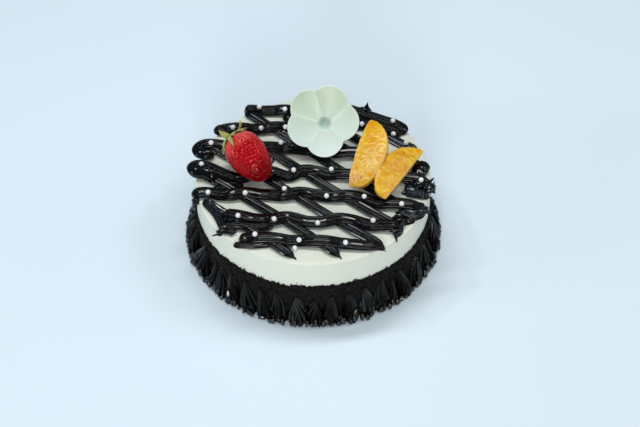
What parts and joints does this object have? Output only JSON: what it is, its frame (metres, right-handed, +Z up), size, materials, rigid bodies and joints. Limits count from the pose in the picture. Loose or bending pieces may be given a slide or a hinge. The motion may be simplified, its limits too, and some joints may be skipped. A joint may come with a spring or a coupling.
{
  "type": "black forest cake",
  "caption": "Round cream cake with a crumb foot, a piped shell skirt, a ganache lattice with sugar pearls, a flower topper, a strawberry and mandarin segments.",
  "frame": {"origin": "centre of the cake's flat foot, on the surface that it stands on", "axes": "+Z up through the cake's top, -Y towards the side that the picture shows, +X to the right as seen from there"},
  "size_m": [0.1737, 0.1738, 0.0911],
  "materials": {
    "whipped_cream": "smooth satin white cream with a faint knife texture, dark chocolate crumbs round the foot",
    "ganache_shells": "near-black piped ganache, ribbed and softly glossy",
    "ganache": "near-black glossy ganache with fine ridges from a star nozzle, small white sugar pearls",
    "white_chocolate": "pale mint white chocolate, smooth with a waxy sheen",
    "strawberry_flesh": "glossy red fruit with sunken seeds, paler at the shoulder",
    "strawberry_leaf": "yellow-green leaf, soft sheen",
    "mandarin_flesh": "moist orange-yellow flesh with pale membrane threads"
  },
  "bodies": {
    "root": {"cream_cake": "whipped_cream", "shell_border": "ganache_shells", "piped_lattice": "ganache", "chocolate_flower": "white_chocolate", "strawberry": "strawberry_flesh", "strawberry_leaves": "strawberry_leaf", "mandarin_left": "mandarin_flesh", "mandarin_right": "mandarin_flesh"}
  },
  "joints": []
}
